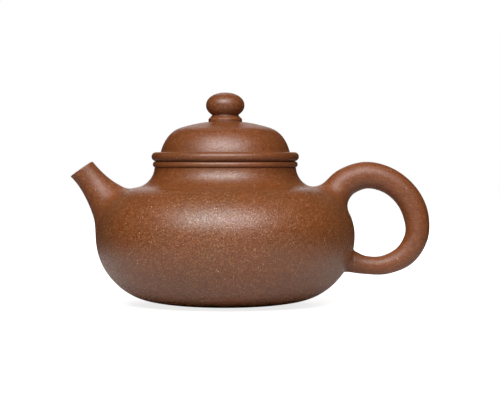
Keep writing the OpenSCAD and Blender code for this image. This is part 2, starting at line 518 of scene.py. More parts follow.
@dataclass
class Workshop:
    """Builds each piece by hand and dresses it.

    Args:
        hand: The waviness of the hand work.
        materials: The material of each finish.
    """

    hand: HandWork
    materials: dict[Finish, bpy.types.Material]

    def place(self, skin: Skin, node: str, body: Body, finish: Finish) -> bpy.types.Object:
        """Puts a finished skin in its CAD solid's place.

        Args:
            skin: The skin to build.
            node: The CAD node that it stands for.
            body: The body that it rides on.
            finish: The finish that it gets.

        Returns:
            The new object.
        """
        thing = skin.built(self.hand)
        thing.data.materials.append(self.materials[finish])
        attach(thing, body.value)
        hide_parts(node)
        return thing

    def dress_node(self, node: str, finish: Finish) -> bpy.types.Object:
        """Gives a CAD node that stays its finish.

        Args:
            node: Name of the node.
            finish: The finish that it gets.

        Returns:
            The node's object.
        """
        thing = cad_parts[node]
        thing.data.materials.clear()
        thing.data.materials.append(self.materials[finish])
        return thing


# ---------------------------------------------------------------------------
# Pot body
# ---------------------------------------------------------------------------


Span = tuple[np.ndarray, float, float, float, float]


@dataclass(frozen=True)
class PotBody:
    """The beaten body of the pot, from the foot to the lip.

    Its seams are angles on its arcs, in degrees.
    """

    belly_r: float = 48.7
    belly_z: float = 26.0
    lower_belly_r: float = 25.0
    upper_belly_r: float = 18.3
    foot_r: float = 14.0
    foot_ring_w: float = 3.2
    dish_edge: float = 1.2
    base_dish: float = 0.7
    wall: float = 2.6
    neck_r: float = 26.6
    throat_r: float = 8.0
    lip_r: float = 27.25
    lip_z: float = 51.5
    lip_h: float = 2.4
    base_seam: float = -82.0
    wall_seam: float = 72.0
    neck_seam: float = 232.0
    dish_soft: float = 0.5
    foot_soft: float = 0.4
    mouth_soft: float = 0.35

    @property
    def foot_arc_r(self) -> float:
        """Radius of the arc that runs from the foot into the lower belly.

        Returns:
            The radius with which it meets the lower belly's arc without a kink.
        """
        run = self.belly_r - self.foot_r
        over = run * run + self.belly_z**2 - 2 * run * self.lower_belly_r
        return over / (2 * (self.belly_z - self.lower_belly_r))

    @cached_property
    def foot_c(self) -> np.ndarray:
        """Centre of the foot arc."""
        return np.array([self.foot_r, self.foot_arc_r])

    @cached_property
    def lower_c(self) -> np.ndarray:
        """Centre of the arc below the widest part."""
        return np.array([self.belly_r - self.lower_belly_r, self.belly_z])

    @cached_property
    def upper_c(self) -> np.ndarray:
        """Centre of the arc above the widest part."""
        return np.array([self.belly_r - self.upper_belly_r, self.belly_z])

    @cached_property
    def throat_c(self) -> np.ndarray:
        """Centre of the hollow arc from the shoulder into the neck.

        Returns:
            The centre, from which the arc meets the upper belly's without a kink.
        """
        run = self.neck_r + self.throat_r - self.upper_c[0]
        rise = math.sqrt((self.upper_belly_r + self.throat_r) ** 2 - run * run)
        return np.array([self.neck_r + self.throat_r, self.belly_z + rise])

    @property
    def mouth_r(self) -> float:
        """Radius of the mouth."""
        return self.neck_r - self.wall

    @property
    def seat_z(self) -> float:
        """Height of the flat top of the lip, where the lid lies."""
        return self.lip_z + self.lip_h

    @property
    def foot_turn(self) -> float:
        """Angle where the foot arc hands over to the lower belly."""
        return bearing(self.lower_c - self.foot_c)

    @property
    def shoulder_turn(self) -> float:
        """Angle where the upper belly hands over to the throat."""
        return bearing(self.throat_c - self.upper_c)

    @property
    def lip_turn(self) -> float:
        """Angle on the throat at the height of the lip's underside."""
        return 180 + math.degrees(math.asin((self.throat_c[1] - self.lip_z) / self.throat_r))

    def _bulge(self, centre: np.ndarray, radius: float, start: float, end: float) -> Span:
        """Span of an arc that curves outward, whose inner face has the smaller radius."""
        return centre, radius, -self.wall, start, end

    def _throat(self, start: float, end: float) -> Span:
        """Span of the throat, whose inner face has the larger radius."""
        return self.throat_c, self.throat_r, self.wall, start, end

    @staticmethod
    def _wall_ring(name: str, spans: list[Span]) -> Skin:
        """Ring of the wall, between two seams square to it.

        Args:
            name: Name of the piece.
            spans: From low to high, the centre and radius of each outer arc, what the
                inner radius has more, and the angles where the arc starts and ends.

        Returns:
            The skin.
        """
        outer = [arc(c, r, start, end) for c, r, _, start, end in spans]
        inner = [arc(c, r + more, end, start) for c, r, more, start, end in reversed(spans)]
        top = straight(outer[-1].points[-1], inner[0].points[0])
        bottom = straight(inner[-1].points[-1], outer[0].points[0])
        return turned(name, [*outer, top, *inner, bottom])

    def height_over(self, points: np.ndarray) -> tuple[np.ndarray, np.ndarray]:
        """Height of points over the outer surface between the foot and the lip.

        Args:
            points: Places, along the last axis, in millimetres.

        Returns:
            The heights, below zero inside, and the surface's unit normals there.
        """
        r = np.hypot(points[..., 0], points[..., 1])
        flat = np.stack([r, points[..., 2]], -1)
        lower, upper, throat = flat - self.lower_c, flat - self.upper_c, self.throat_c - flat
        in_throat = np.degrees(np.arctan2(upper[..., 1], upper[..., 0])) > self.shoulder_turn
        in_lower = flat[..., 1] < self.belly_z
        height = np.linalg.norm(upper, axis=-1) - self.upper_belly_r
        height = np.where(in_lower, np.linalg.norm(lower, axis=-1) - self.lower_belly_r, height)
        height = np.where(in_throat, self.throat_r - np.linalg.norm(throat, axis=-1), height)
        plane = np.where(in_lower[..., None], unit(lower), unit(upper))
        plane = np.where(in_throat[..., None], unit(throat), plane)
        about = points[..., :2] / np.maximum(r, TINY)[..., None]
        return height, np.concatenate([plane[..., :1] * about, plane[..., 1:]], -1)

    def laid_on(self, points: np.ndarray, lift: float = 0.0, passes: int = 3) -> np.ndarray:
        """Moves points onto the outer surface.

        Args:
            points: Places, along the last axis, in millimetres.
            lift: Height over the surface that they end at.
            passes: Number of moves, each nearer to it than the last.

        Returns:
            The moved places.
        """
        for _ in range(passes):
            height, normals = self.height_over(points)
            points = points - (height - lift)[..., None] * normals
        return points

    def base(self) -> Skin:
        """Builds the pressed-in base with the foot ring.

        Returns:
            The skin, whose outline runs from the axis out under the foot and back inside.
        """
        ring_in = self.foot_r - self.foot_ring_w
        foot = arc(self.foot_c, self.foot_arc_r, -90, self.base_seam)
        floor_arc = arc(self.foot_c, self.foot_arc_r - self.wall, self.base_seam, -90)
        runs = [
            straight((0, self.base_dish), (ring_in - self.dish_edge, self.base_dish)),
            straight((ring_in - self.dish_edge, self.base_dish), (ring_in, 0)),
            straight((ring_in, 0), (self.foot_r, 0)),
            foot,
            straight(foot.points[-1], floor_arc.points[0]),
            floor_arc,
            straight((self.foot_r, self.wall), (0, self.wall)),
        ]
        bends = {0: self.dish_soft, 1: self.foot_soft}
        return turned("pressed_base", softened(runs, bends, closed=False))

    def belly(self) -> Skin:
        """Builds the beaten round wall.

        Returns:
            The skin.
        """
        return self._wall_ring("beaten_wall", [
            self._bulge(self.foot_c, self.foot_arc_r, self.base_seam, self.foot_turn),
            self._bulge(self.lower_c, self.lower_belly_r, self.foot_turn, 0.0),
            self._bulge(self.upper_c, self.upper_belly_r, 0.0, self.wall_seam),
        ])

    def shoulder(self) -> Skin:
        """Builds the disc that closes the wall at the top.

        Returns:
            The skin.
        """
        return self._wall_ring("shoulder_slab", [
            self._bulge(self.upper_c, self.upper_belly_r, self.wall_seam, self.shoulder_turn),
            self._throat(180 + self.shoulder_turn, self.neck_seam),
        ])

    def neck(self) -> Skin:
        """Builds the hollow-curved neck."""
        return self._wall_ring("neck_band", [self._throat(self.neck_seam, self.lip_turn)])

    def lip(self) -> Skin:
        """Builds the half-round lip around the mouth."""
        runs = bead_ring(self.mouth_r, self.lip_r, self.lip_z, self.seat_z)
        return turned("mouth_lip", softened(runs, {2: self.mouth_soft}))

    def pieces(self, shop: Workshop) -> list[bpy.types.Object]:
        """Builds and dresses the five pieces of the body.

        Args:
            shop: The workshop that dresses them.

        Returns:
            The pieces, from the foot up.
        """
        return [
            shop.place(self.base(), "base_disc", Body.POT, Finish.BODY),
            shop.place(self.belly(), "belly_wall", Body.POT, Finish.BODY),
            shop.place(self.shoulder(), "shoulder_disc", Body.POT, Finish.NECK),
            shop.place(self.neck(), "neck_ring", Body.POT, Finish.NECK),
            shop.place(self.lip(), "lip_ring", Body.POT, Finish.LIP),
        ]


# ---------------------------------------------------------------------------
# Roots: where the spout and the handle flow into the body
# ---------------------------------------------------------------------------


@dataclass(frozen=True)
class Root:
    """A smoothed joint between the lines of a tube and the body's outer surface.

    Args:
        body: The body that the tube stands on.
        sink: How far the feather edge lies under the body's surface.
        rows: Number of steps down the smoothed strip.
        lean: How far the strip follows the tube and the body, as a share of each side.
    """

    body: PotBody
    sink: float = 0.05
    rows: int = 22
    lean: float = 2 / 3

    def meeting(self, lines: np.ndarray) -> tuple[np.ndarray, np.ndarray]:
        """Finds where the lines of a tube first enter the body.

        Args:
            lines: Steps by sides by 3 points, from outside to inside.

        Returns:
            The step, with its fraction, for each side, and the points.
        """
        heights, _ = self.body.height_over(lines)
        first = np.argmax(heights < 0, axis=0)
        side = np.arange(lines.shape[1])
        above, below = heights[first - 1, side], heights[first, side]
        part = above / (above - below)
        points = lines[first - 1, side] * (1 - part[:, None]) + lines[first, side] * part[:, None]
        return first - 1 + part, points

    def strip(
        self, lines: np.ndarray, centres: np.ndarray, climb: np.ndarray, spread: np.ndarray
    ) -> tuple[np.ndarray, np.ndarray]:
        """Builds the strip that turns from the tube's lines onto the body.

        Args:
            lines: Steps by sides by 3 points of the tube, from outside to inside.
            centres: Steps by 3 points of the tube's middle line.
            climb: For each side, how far up the tube the strip starts.
            spread: For each side, how far out on the body it ends.

        Returns:
            For each side, the step of the tube where the strip starts, and the rows
            by sides by 3 points of the strip, which ends on the body's surface.
        """
        steps, meet = self.meeting(lines)
        gaps = np.linalg.norm(np.diff(lines, axis=0), axis=-1)
        along = np.concatenate([np.zeros((1, lines.shape[1])), np.cumsum(gaps, axis=0)])
        number = np.arange(len(lines))
        reach = [np.interp(at, number, row) - back for at, row, back in zip(steps, along.T, climb)]
        cut = np.array([np.interp(at, row, number) for at, row in zip(reach, along.T)])
        start = on_lines(lines, cut)
        way = unit(on_lines(lines, cut + 0.5) - on_lines(lines, cut - 0.5))
        middle = on_lines(np.repeat(centres[:, None], lines.shape[1], axis=1), steps)
        _, facing = self.body.height_over(meet)
        out = unit(self._along(unit(meet - middle), facing) + self._along(way, facing))
        end = self.body.laid_on(meet + out * spread[:, None])
        _, end_facing = self.body.height_over(end)
        arrive = unit(self._along(out, end_facing))
        near = start + way * self.lean * np.linalg.norm(meet - start, axis=1)[:, None]
        far = end - arrive * self.lean * np.linalg.norm(end - meet, axis=1)[:, None]
        t = np.linspace(0, 1, self.rows + 1)[:, None, None]
        return cut, bezier(t, start, near, far, end)

    @staticmethod
    def _along(vectors: np.ndarray, facing: np.ndarray) -> np.ndarray:
        """Part of the vectors that lies in the plane square to facing."""
        return vectors - np.sum(vectors * facing, axis=-1, keepdims=True) * facing

    def feathered(self, points: np.ndarray, normals: np.ndarray) -> tuple[np.ndarray, np.ndarray]:
        """Gives the last row of a patch the body's normals, and sinks it there.

        Args:
            points: Rows by sides by 3 places, of which the last row lies on the body.
            normals: Their normals.

        Returns:
            The points and the normals.
        """
        points, normals = points.copy(), normals.copy()
        height, facing = self.body.height_over(points[-1])
        normals[-1] = facing
        points[-1] -= (height + self.sink)[:, None] * facing
        return points, normals

    def hidden(self, outer: np.ndarray, inner: np.ndarray, rows: int = 7) -> tuple[np.ndarray, np.ndarray]:
        """Builds the patch under the body's surface that closes the foot of a tube.

        Args:
            outer: The feather edge, as sides by 3 points.
            inner: The ring or the point where the patch ends, as sides by 3 points.
            rows: Number of rows.

        Returns:
            The points and the normals of the patch, which face into the body.
        """
        points = bezier(np.linspace(0, 1, rows)[:, None, None], outer, inner)
        points[1:-1] = self.body.laid_on(points[1:-1], -self.sink)
        _, facing = self.body.height_over(points)
        return points, -facing


def on_lines(lines: np.ndarray, at: np.ndarray) -> np.ndarray:
    """Points part of the way along lines.

    Args:
        lines: Steps by sides by 3 points.
        at: For each side, the step with its fraction, or a row of such steps.

    Returns:
        Sides by 3 points, or sides by 3 by the length of a row.
    """
    number = np.arange(len(lines))
    columns = lines.transpose(1, 2, 0)
    return np.array([[np.interp(a, number, row) for row in side] for a, side in zip(at, columns)])


def resampled(lines: np.ndarray, starts: np.ndarray, ends: np.ndarray, rows: int) -> np.ndarray:
    """Rows evenly between a start and an end step of each line.

    Args:
        lines: Steps by sides by 3 points.
        starts: For each side, the step to start at.
        ends: For each side, the step to end at.
        rows: Number of rows.

    Returns:
        Rows by sides by 3 points.
    """
    return on_lines(lines, np.linspace(starts, ends, rows).T).transpose(2, 0, 1)


# ---------------------------------------------------------------------------
# Spout
# ---------------------------------------------------------------------------


@dataclass(frozen=True)
class Spout:
    """The short tapered spout with its channel.

    Its outside runs between an upper and a lower Bezier curve in the plane of the handle.
    The channel's first part, channel_inside of its length, is sure to lie outside the body.
    """

    body: PotBody
    upper: tuple[Point, ...] = ((-49.95, 53.9), (-43.8, 46.4), (-41.2, 45.7), (-34.0, 42.0))
    lower: tuple[Point, ...] = ((-58.25, 48.15), (-51.9, 42.4), (-48.0, 30.1), (-47.9, 24.0))
    tip_half_w: float = 4.83
    root_half_w: float = 15.0
    flare_power: float = 2.2
    channel_start: Point = (-54.6, 51.45)
    channel_lean: float = 138.6
    channel_h: float = 22.0
    channel_start_r: float = 2.9
    channel_end_r: float = 5.8
    channel_inside: float = 0.4
    edge: float = 0.45
    climb_below: float = 5.0
    climb_above: float = 2.1
    spread_below: float = 5.2
    spread_above: float = 1.9
    sides: int = 112
    steps: int = 600
    rows: int = 70
    edge_rows: int = 7
    face_rows: int = 4
    channel_rows: int = 26
    channel_steps: int = 300

    @cached_property
    def angles(self) -> np.ndarray:
        """Angles of the sides around a section, from its top."""
        return turn_angles(self.sides)

    def _ring(self, up: np.ndarray) -> np.ndarray:
        """Unit vectors around a section whose top lies along up."""
        c, s = np.cos(self.angles)[:, None], np.sin(self.angles)[:, None]
        return c * up + s * np.array([0, 1, 0])

    def lines(self) -> tuple[np.ndarray, np.ndarray]:
        """Finds the long lines of the outside.

        Returns:
            Steps by sides by 3 points, and the steps by 3 points of the middle line.
        """
        t = np.linspace(0, 1, self.steps)
        top, bottom = (bezier(t[:, None], *map(np.array, side)) for side in (self.upper, self.lower))
        centre, reach = (top + bottom) / 2, (top - bottom) / 2
        half_w = self.tip_half_w + (self.root_half_w - self.tip_half_w) * t**self.flare_power
        c, s = np.cos(self.angles), np.sin(self.angles)
        x = centre[:, :1] + reach[:, :1] * c
        z = centre[:, 1:] + reach[:, 1:] * c
        middle = np.stack([centre[:, 0], np.zeros(self.steps), centre[:, 1]], 1)
        return np.stack([x, half_w[:, None] * s, z], -1), middle

    def channel_foot(self, lift: float) -> np.ndarray:
        """Finds the ring where the channel leaves the spout's foot.

        Args:
            lift: Height of the ring over the body's surface.

        Returns:
            Sides by 3 points.
        """
        lean = math.radians(self.channel_lean)
        way = np.array([math.sin(lean), 0, math.cos(lean)])
        up = np.array([-way[2], 0, way[0]])
        s = np.linspace(self.channel_inside, 1, self.channel_steps)[:, None, None] * self.channel_h
        r = self.channel_start_r + (self.channel_end_r - self.channel_start_r) * s / self.channel_h
        start = np.array([self.channel_start[0], 0, self.channel_start[1]])
        lines = start + s * way + r * self._ring(up)
        heights, _ = self.body.height_over(lines)
        first = np.argmax(heights < lift, axis=0)
        return lines[first, np.arange(self.sides)]

    def skin(self) -> Skin:
        """Builds the spout, from the rounded rim of its tip to the feather edge.

        Returns:
            The skin: the outside with the tip's face, the channel and the hidden foot.
        """
        root = Root(self.body)
        lines, middle = self.lines()
        above = (1 + np.cos(self.angles)) / 2
        climb = self.climb_below + (self.climb_above - self.climb_below) * above
        spread = self.spread_below + (self.spread_above - self.spread_below) * above
        cut, strip = root.strip(lines, middle, climb, spread)

        across = unit(lines[0, 0] - middle[0])
        tip_way = np.array([-across[2], 0, across[0]])
        around = self._ring(across)
        hole = middle[0] + self.channel_start_r * around
        hole_out, hole_in = hole + self.edge * around, hole - self.edge * tip_way
        rim_in = lines[0] - self.edge * around
        step_length = np.linalg.norm(lines[1] - lines[0], axis=-1).mean()
        rim_cut = np.full(self.sides, self.edge / step_length)
        t = np.linspace(0, 1, self.edge_rows)[:, None, None]
        inner_edge = bezier(t, hole_in, hole, hole_out)
        outer_edge = bezier(t, rim_in, lines[0], on_lines(lines, rim_cut))
        t = np.linspace(0, 1, self.face_rows + 2)[1:-1, None, None]
        face = bezier(t, hole_out, rim_in)
        outside = resampled(lines, rim_cut, cut, self.rows)
        points = np.concatenate([inner_edge, face, outer_edge, outside[1:], strip[1:]])
        facing = unit(points - points.mean(axis=1, keepdims=True))
        flat_rows = self.edge_rows + self.face_rows
        facing[:flat_rows] = tip_way
        facing[flat_rows : flat_rows + self.edge_rows] += tip_way
        points, normals = root.feathered(points, grid_normals(points, facing))

        foot = self.channel_foot(-root.sink)
        inside = bezier(np.linspace(0, 1, self.channel_rows)[:, None, None], hole_in, foot)
        skin = Skin("pouring_spout")
        skin.add_grid(points, normals)
        skin.add_grid(inside, grid_normals(inside, inside.mean(axis=1, keepdims=True) - inside))
        skin.add_grid(*root.hidden(points[-1], foot))
        return skin

    def pieces(self, shop: Workshop) -> list[bpy.types.Object]:
        """Builds and dresses the spout, and dresses the strainer behind it.

        Args:
            shop: The workshop that dresses them.

        Returns:
            The spout and the strainer.
        """
        return [
            shop.place(self.skin(), "spout", Body.POT, Finish.RUBBED),
            shop.dress_node("strainer", Finish.INSIDE),
        ]


# ---------------------------------------------------------------------------
# Handle
# ---------------------------------------------------------------------------


@dataclass(frozen=True)
class Handle:
    """The ring handle, a bent round roll.

    Each knot is an angle and a distance from the ring's centre, half a height and half a width.
    """

    body: PotBody
    centre: Point = (54.9, 31.1)
    knots: tuple[tuple[float, float, float, float], ...] = (
        (184, 20.6, 8.0, 7.4),
        (164, 19.0, 7.05, 7.2),
        (144, 17.4, 5.80, 6.2),
        (122, 17.72, 5.32, 5.3),
        (96, 17.62, 5.06, 5.0),
        (68, 16.8, 4.85, 4.9),
        (40, 16.5, 4.75, 4.8),
        (12, 16.87, 4.78, 4.65),
        (-16, 17.85, 4.45, 4.5),
        (-44, 17.9, 4.15, 4.2),
        (-72, 17.0, 3.6, 3.7),
        (-98, 16.4, 3.45, 3.6),
        (-119, 16.85, 4.35, 4.3),
        (-134, 18.6, 5.4, 5.2),
        (-150, 20.5, 6.4, 6.0),
    )
    side_soft: float = 5.0
    outer_soft: float = 4.7
    inner_soft: float = 3.8
    lower_soft: float = 1.0
    sides: int = 80
    steps_per_knot: int = 60
    rows: int = 230

    @cached_property
    def angles(self) -> np.ndarray:
        """Angles of the sides around a section, from the inside of the ring."""
        return turn_angles(self.sides)

    def stations(self) -> np.ndarray:
        """Runs a smooth curve through all knots but the first and the last.

        Returns:
            Steps by 4 numbers: x, z, half height and half width.
        """
        k = np.array([[*(self.centre + d * ray(a)), h, w] for a, d, h, w in self.knots])
        t = np.linspace(0, 1, self.steps_per_knot, endpoint=False)[:, None]
        spans = []
        for a, b, c, d in zip(k, k[1:], k[2:], k[3:]):
            square, cube = 2 * a - 5 * b + 4 * c - d, 3 * b - a - 3 * c + d
            spans.append(0.5 * (2 * b + (c - a) * t + square * t**2 + cube * t**3))
        return np.concatenate([*spans, k[-2][None]])

    def lines(self) -> tuple[np.ndarray, np.ndarray]:
        """Finds the long lines of the roll.

        Returns:
            Steps by sides by 3 points, from the upper root to the lower one, and the
            steps by 3 points of the middle line.
        """
        s = self.stations()
        way = unit(np.gradient(s[:, :2], axis=0))
        across = np.stack([way[:, 1], -way[:, 0]], 1)
        c, w = np.cos(self.angles), np.sin(self.angles)
        x = s[:, :1] + s[:, 2:3] * across[:, :1] * c
        z = s[:, 1:2] + s[:, 2:3] * across[:, 1:] * c
        return np.stack([x, s[:, 3:4] * w, z], -1), np.stack([s[:, 0], 0 * s[:, 0], s[:, 1]], 1)

    def skin(self) -> Skin:
        """Builds the roll with both its roots.

        Returns:
            The skin: the outside and the two hidden feet.
        """
        root = Root(self.body)
        lines, middle = self.lines()
        half = len(lines) // 2
        outer = np.clip(-np.cos(self.angles), 0, 1) ** 2
        inner = np.clip(np.cos(self.angles), 0, 1) ** 2
        soft = self.side_soft + (self.outer_soft - self.side_soft) * outer
        soft += (self.inner_soft - self.side_soft) * inner
        crisp = np.full(self.sides, self.lower_soft)
        upper_cut, upper = root.strip(lines[:half][::-1], middle[:half][::-1], soft, soft)
        lower_cut, lower = root.strip(lines[half:], middle[half:], crisp, crisp)
        outside = resampled(lines, half - 1 - upper_cut, half + lower_cut, self.rows)
        points = np.concatenate([upper[::-1][:-1], outside, lower[1:]])
        normals = grid_normals(points, points - points.mean(axis=1, keepdims=True))
        points, normals = root.feathered(points, normals)
        points, normals = root.feathered(points[::-1], normals[::-1])
        skin = Skin("ring_handle")
        skin.add_grid(points, normals)
        for edge in (points[0], points[-1]):
            foot = self.body.laid_on(edge.mean(axis=0, keepdims=True), -root.sink)
            skin.add_grid(*root.hidden(edge, np.repeat(foot, self.sides, axis=0)))
        return skin

    def pieces(self, shop: Workshop) -> list[bpy.types.Object]:
        """Builds and dresses the handle."""
        return [shop.place(self.skin(), "handle", Body.POT, Finish.RUBBED)]


# ---------------------------------------------------------------------------
# Lid
# ---------------------------------------------------------------------------


@dataclass(frozen=True)
class Lid:
    """The lift-off lid: rim, flange, dome, collar and knob."""

    body: PotBody
    rim_r: float = 27.7
    rim_h: float = 3.4
    lid_gap: float = 0.3
    flange_h: float = 7.5
    flange_t: float = 2.2
    flange_soft: float = 0.6
    dome_r: float = 24.25
    dome_h: float = 11.75
    dome_t: float = 2.4
    dome_hole_r: float = 1.35
    air_r: float = 0.9
    air_soft: float = 0.3
    flank_lean: float = 13.5
    flank_r: float = 15.6
    dome_shoulder_r: float = 10.05
    crown_r: float = 55.4
    knob_r: float = 7.2
    knob_half_h: float = 4.8
    knob_power: float = 2.1
    knob_rows: int = 70
    knob_sides: int = 200
    waist_r: float = 5.0
    collar_r: float = 6.3
    collar_seat_r: float = 6.4
    collar_h: float = 2.65
    ridge_round_r: float = 0.5
    waist_round_r: float = 0.7
    collar_slope: float = 45.0
    collar_arc_step: float = 0.06
    collar_flat_step: float = 0.15
    collar_sides: int = 160

    @property
    def seat_z(self) -> float:
        """Height where the lid lies on the lip."""
        return self.body.seat_z

    @property
    def rim_top_z(self) -> float:
        """Height of the rim's top."""
        return self.seat_z + self.rim_h

    @property
    def flange_r(self) -> float:
        """Outer radius of the flange."""
        return self.body.mouth_r - self.lid_gap

    @property
    def hollow_r(self) -> float:
        """Inner radius of the flange and of the rim."""
        return self.flange_r - self.flange_t

    @cached_property
    def flank_c(self) -> np.ndarray:
        """Centre of the dome's flank arc."""
        return np.array([self.dome_r, self.rim_top_z]) - self.flank_r * ray(self.flank_lean)

    @cached_property
    def crown_c(self) -> np.ndarray:
        """Centre of the dome's crown arc."""
        return np.array([0.0, self.rim_top_z + self.dome_h - self.crown_r])

    @cached_property
    def dome_c(self) -> np.ndarray:
        """Centre of the arc between flank and crown."""
        from_crown, from_flank = self.crown_r - self.dome_shoulder_r, self.flank_r - self.dome_shoulder_r
        return circles_meet(self.crown_c, from_crown, self.flank_c, from_flank)

    @property
    def collar_seat_z(self) -> float:
        """Height of the small flat that the collar stands on."""
        return self.crown_c[1] + math.sqrt(self.crown_r**2 - self.collar_seat_r**2)

    @property
    def waist_z(self) -> float:
        """Height of the waist between collar and knob."""
        return self.collar_seat_z + self.collar_h

    def rim(self) -> Skin:
        """Builds the disc with the half-round edge that lies on the lip."""
        return turned("lid_edge", bead_ring(self.hollow_r, self.rim_r, self.seat_z, self.rim_top_z))

    def flange(self) -> Skin:
        """Builds the ring that drops into the mouth.

        Returns:
            The skin.
        """
        low, high = self.seat_z - self.flange_h, self.seat_z
        corners = [(self.hollow_r, low), (self.flange_r, low), (self.flange_r, high), (self.hollow_r, high)]
        runs = [straight(a, b) for a, b in zip(corners, corners[1:] + corners[:1])]
        return turned("lid_collar_ring", softened(runs, {0: self.flange_soft, 3: self.flange_soft}))

    def dome(self) -> Skin:
        """Builds the domed top, with the small hole under the knob.

        Returns:
            The skin, whose outline runs up the outside, down the hole and back inside.
        """
        flank_turn, crown_turn = bearing(self.dome_c - self.flank_c), bearing(self.dome_c - self.crown_c)
        crown_end = bearing(np.array([self.collar_seat_r, self.collar_seat_z]) - self.crown_c)
        inner_end = 90 - math.degrees(math.asin(self.dome_hole_r / (self.crown_r - self.dome_t)))
        rise = (self.rim_top_z - self.flank_c[1]) / (self.flank_r - self.dome_t)
        inner_start = math.degrees(math.asin(rise))
        outer = [
            arc(self.flank_c, self.flank_r, self.flank_lean, flank_turn),
            arc(self.dome_c, self.dome_shoulder_r, flank_turn, crown_turn),
            arc(self.crown_c, self.crown_r, crown_turn, crown_end),
        ]
        inner = [
            arc(self.crown_c, self.crown_r - self.dome_t, inner_end, crown_turn),
            arc(self.dome_c, self.dome_shoulder_r - self.dome_t, crown_turn, flank_turn),
            arc(self.flank_c, self.flank_r - self.dome_t, flank_turn, inner_start),
        ]
        hole = (self.dome_hole_r, self.collar_seat_z)
        return turned("lid_top", [
            *outer,
            straight(outer[-1].points[-1], hole),
            straight(hole, inner[0].points[0]),
            *inner,
            straight(inner[-1].points[-1], outer[0].points[0]),
        ])

    def collar(self) -> Skin:
        """Builds the ridged collar under the knob.

        Returns:
            The skin, whose outline runs out to the ridge, in to the waist and down the air hole.
        """
        low, along, flat = self.collar_seat_z, ray(self.collar_slope), self.collar_flat_step
        hollow_c = np.array([self.waist_r + self.waist_round_r, self.waist_z])
        ridge_x = self.collar_r - self.ridge_round_r
        rise = hollow_c @ along - self.waist_round_r - self.ridge_round_r - ridge_x * along[0]
        ridge_c = np.array([ridge_x, rise / along[1]])
        ridge = arc(ridge_c, self.ridge_round_r, 0, self.collar_slope, self.collar_arc_step)
        hollow = arc(hollow_c, self.waist_round_r, self.collar_slope + 180, 180, self.collar_arc_step)
        return turned("knob_foot", [
            straight((self.air_r, low), (self.collar_r, low)),
            straight((self.collar_r, low), ridge.points[0], flat),
            ridge,
            straight(ridge.points[-1], hollow.points[0], flat),
            hollow,
            straight(hollow.points[-1], (self.air_r, self.waist_z)),
            straight((self.air_r, self.waist_z), (self.air_r, low)),
        ], self.collar_sides)

    def knob(self) -> Skin:
        """Builds the flattened ball with the air hole down through it.

        Returns:
            The skin, whose outline is a superellipse above the waist.
        """
        n = self.knob_power
        low = math.acos((self.waist_r / self.knob_r) ** (n / 2))
        high = math.acos((self.air_r / self.knob_r) ** (n / 2))
        a = np.linspace(-low, high, self.knob_rows)
        c, s = np.cos(a), np.sin(a)
        centre_z = self.waist_z + self.knob_half_h * math.sin(low) ** (2 / n)
        r = self.knob_r * c ** (2 / n)
        z = centre_z + self.knob_half_h * np.sign(s) * np.abs(s) ** (2 / n)
        nr = c ** (2 - 2 / n) / self.knob_r
        nz = np.sign(s) * np.abs(s) ** (2 - 2 / n) / self.knob_half_h
        ball = Stretch(np.stack([r, z], 1), unit(np.stack([nr, nz], 1)))
        hole = (self.air_r, self.waist_z)
        runs = [straight(hole, ball.points[0]), ball, straight(ball.points[-1], hole)]
        return turned("ball_knob", softened(runs, {1: self.air_soft}), self.knob_sides)

    def pieces(self, shop: Workshop) -> list[bpy.types.Object]:
        """Builds and dresses the five pieces of the lid.

        Args:
            shop: The workshop that dresses them.

        Returns:
            The pieces, from the rim up.
        """
        return [
            shop.place(self.rim(), "lid_rim", Body.LID, Finish.LID),
            shop.place(self.flange(), "lid_flange", Body.LID, Finish.INSIDE),
            shop.place(self.dome(), "lid_dome", Body.LID, Finish.LID),
            shop.place(self.collar(), "knob_collar", Body.LID, Finish.LID),
            shop.place(self.knob(), "knob", Body.LID, Finish.LID),
        ]


# ---------------------------------------------------------------------------
# Finish of the clay
# ---------------------------------------------------------------------------


def linear(shown: Shown) -> Colour:
    """Scene colour of a display colour, by the sRGB curve.

    Args:
        shown: Red, green and blue in steps of 0 to 255.

    Returns:
        The colour as the render reckons with it.
    """
    shares = (step / 255 for step in shown)
    return (*(s / 12.92 if s <= 0.04045 else ((s + 0.055) / 1.055) ** 2.4 for s in shares), 1.0)


@dataclass(frozen=True)
class Specks:
    """One kind of sand in the clay.

    Args:
        cells: Number of cells to a millimetre, each with one grain at most.
        share: Part of the cells that hold a grain, in a clay whose sand is 1.
        radius: Largest radius of a grain, in cells.
        height: How far a grain stands out, in millimetres.
        smallest: Radius of the smallest grain, as a share of the largest one.
        blur: Width of a grain's soft edge, as a share of the largest radius.
        brown: Darkest colour of a grain.
        cream: Palest colour of a grain.
    """

    cells: float
    share: float
    radius: float
    height: float
    smallest: float = 0.4
    blur: float = 0.3
    brown: Shown = (214, 162, 116)
    cream: Shown = (240, 216, 172)


